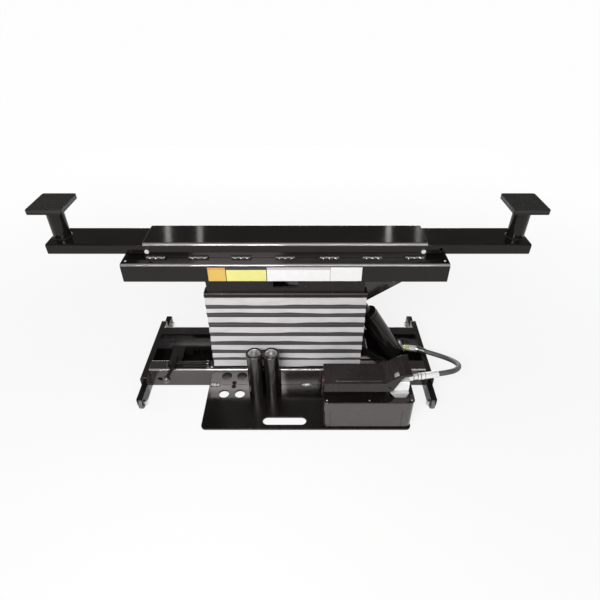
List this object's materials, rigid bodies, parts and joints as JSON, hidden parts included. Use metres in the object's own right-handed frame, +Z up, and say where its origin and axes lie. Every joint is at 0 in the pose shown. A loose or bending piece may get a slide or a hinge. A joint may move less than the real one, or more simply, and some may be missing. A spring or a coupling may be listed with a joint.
{
  "type": "rolling bridge jack",
  "caption": "Rolling bridge jack: scissor lift behind bellows, telescopic arms with lifting pads, roller frame, tool tray and air-oil foot pump.",
  "frame": {"origin": "middle of the outer box, on the runway flange the rollers stand on", "axes": "+X along the beam across the two runways, +Y away from the pump and tray, +Z up"},
  "size_m": [1.405, 0.5056, 0.6172],
  "materials": {
    "black_paint": "gloss black paint",
    "zinc": "bright zinc",
    "steel": "plain machined steel",
    "rod_chrome": "polished",
    "pump_metal": "cast",
    "bellows_cloth": "coated cloth, light grey",
    "hose_rubber": "smooth dark grey",
    "pad_rubber": "ribbed black",
    "knob_plastic": "gloss",
    "inlet_red": "red cap"
  },
  "bodies": {
    "base": {"front_rail": "black_paint", "rear_rail": "black_paint", "base_floor": "black_paint", "left_end_rail": "black_paint", "right_end_rail": "black_paint", "roller_forks": "black_paint", "axle_bolts": "zinc", "pivot_blocks": "black_paint", "base_pivot_pins": "steel", "anchor_pin": "steel", "cylinder_anchor": "black_paint", "tray": "black_paint", "pump_tank": "black_paint", "tank_lid": "black_paint", "pump_block": "pump_metal", "air_motor": "black_paint", "air_inlet": "inlet_red", "pedal_bracket": "black_paint", "pedal_pin": "steel", "outlet_fitting": "zinc", "hose": "hose_rubber", "bellows_bottom_strips": "black_paint", "front_bellows": "bellows_cloth", "rear_bellows": "bellows_cloth", "lock_lugs": "black_paint"},
    "outer_leg": {"outer_legs": "black_paint", "outer_leg_tie": "black_paint", "centre_pins": "steel", "upper_axle": "steel"},
    "inner_leg": {"inner_legs": "black_paint", "inner_leg_tie": "black_paint", "lower_axle": "steel"},
    "beam": {"beam": "black_paint", "sleeve": "black_paint", "stop_bolts": "zinc", "top_pivot_brackets": "black_paint", "top_pivot_shaft": "steel", "roller_tracks": "black_paint", "bellows_top_rails": "black_paint"},
    "barrel": {"cylinder_barrel": "black_paint", "cylinder_gland": "black_paint", "port_fitting": "zinc"},
    "rod": {"cylinder_rod": "rod_chrome", "rod_pin": "steel"},
    "left_arm": {"left_arm": "black_paint"},
    "right_arm": {"right_arm": "black_paint"},
    "left_pad": {"left_pad_plate": "black_paint", "left_pad_rubber": "pad_rubber"},
    "right_pad": {"right_pad_plate": "black_paint", "right_pad_rubber": "pad_rubber"},
    "left_adapter": {"left_adapter": "black_paint"},
    "right_adapter": {"right_adapter": "black_paint"},
    "front_rollers": {"front_rollers": "steel"},
    "rear_rollers": {"rear_rollers": "steel"},
    "lower_rollers": {"lower_rollers": "steel"},
    "upper_rollers": {"upper_rollers": "steel"},
    "pedal": {"pedal": "black_paint"},
    "lock": {"lock_plate": "black_paint", "lock_lever": "black_paint", "lever_knob": "knob_plastic"}
  },
  "joints": [
    {"name": "lift", "type": "hinge", "parent": "base", "child": "outer_leg", "pos_m": [0.311, 0.03775, 0.042], "axis": [0, -1, 0], "range_deg": [0, 25], "deforming": ["front_bellows", "rear_bellows", "hose"]},
    {"name": "scissor_centre", "type": "hinge", "parent": "outer_leg", "child": "inner_leg", "pos_m": [0.04728, 0.03775, 0.22325], "axis": [0, -1, 0], "range_deg": [-50, 0]},
    {"name": "top_pivot", "type": "hinge", "parent": "inner_leg", "child": "beam", "pos_m": [0.311, 0.03775, 0.4045], "axis": [0, -1, 0], "range_deg": [0, 25]},
    {"name": "cylinder_swing", "type": "hinge", "parent": "base", "child": "barrel", "pos_m": [0.366, 0.03775, 0.042], "axis": [0, -1, 0], "range_deg": [0, 24.41]},
    {"name": "rod_slide", "type": "slide", "parent": "barrel", "child": "rod", "axis": [-0.5251, 0, 0.851], "range_m": [-0.14056, 0]},
    {"name": "left_arm_slide", "type": "slide", "parent": "beam", "child": "left_arm", "axis": [1, 0, 0], "range_m": [-0.018, 0.195]},
    {"name": "right_arm_slide", "type": "slide", "parent": "beam", "child": "right_arm", "axis": [-1, 0, 0], "range_m": [0, 0.213]},
    {"name": "left_pad_swivel", "type": "hinge", "parent": "left_arm", "child": "left_pad", "pos_m": [-0.654, 0.03775, 0.6173], "axis": [0, 0, 1], "continuous": true},
    {"name": "right_pad_swivel", "type": "hinge", "parent": "right_arm", "child": "right_pad", "pos_m": [0.654, 0.03775, 0.6173], "axis": [0, 0, 1], "continuous": true},
    {"name": "left_adapter_lift", "type": "slide", "parent": "base", "child": "left_adapter", "axis": [0, 0, 1], "range_m": [0, 0.12]},
    {"name": "right_adapter_lift", "type": "slide", "parent": "base", "child": "right_adapter", "axis": [0, 0, 1], "range_m": [0, 0.12]},
    {"name": "front_roller_spin", "type": "hinge", "parent": "base", "child": "front_rollers", "pos_m": [-0.009, -0.15725, 0.02], "axis": [1, 0, 0], "continuous": true},
    {"name": "rear_roller_spin", "type": "hinge", "parent": "base", "child": "rear_rollers", "pos_m": [-0.009, 0.23275, 0.02], "axis": [1, 0, 0], "continuous": true},
    {"name": "lower_roller_spin", "type": "hinge", "parent": "inner_leg", "child": "lower_rollers", "pos_m": [-0.21644, 0.03775, 0.042], "axis": [0, 1, 0], "continuous": true},
    {"name": "upper_roller_spin", "type": "hinge", "parent": "outer_leg", "child": "upper_rollers", "pos_m": [-0.21644, 0.03775, 0.4045], "axis": [0, 1, 0], "continuous": true},
    {"name": "pedal_rock", "type": "hinge", "parent": "base", "child": "pedal", "pos_m": [0.2905, -0.19325, 0.168], "axis": [0, 1, 0], "range_deg": [-3, 3], "stiffness_Nm_per_rad": 60},
    {"name": "lock_swing", "type": "hinge", "parent": "base", "child": "lock", "pos_m": [-0.334, -0.05425, 0.091], "axis": [-1, 0, 0], "range_deg": [0, 11.5]}
  ],
  "couplings": [
    {"joint": "scissor_centre", "follows": "lift", "ratio": -2},
    {"joint": "top_pivot", "follows": "lift", "ratio": 1},
    {"joint": "cylinder_swing", "follows": "lift", "ratio": 0.97626},
    {"joint": "rod_slide", "follows": "lift", "m_per_rad": -0.32215}
  ]
}
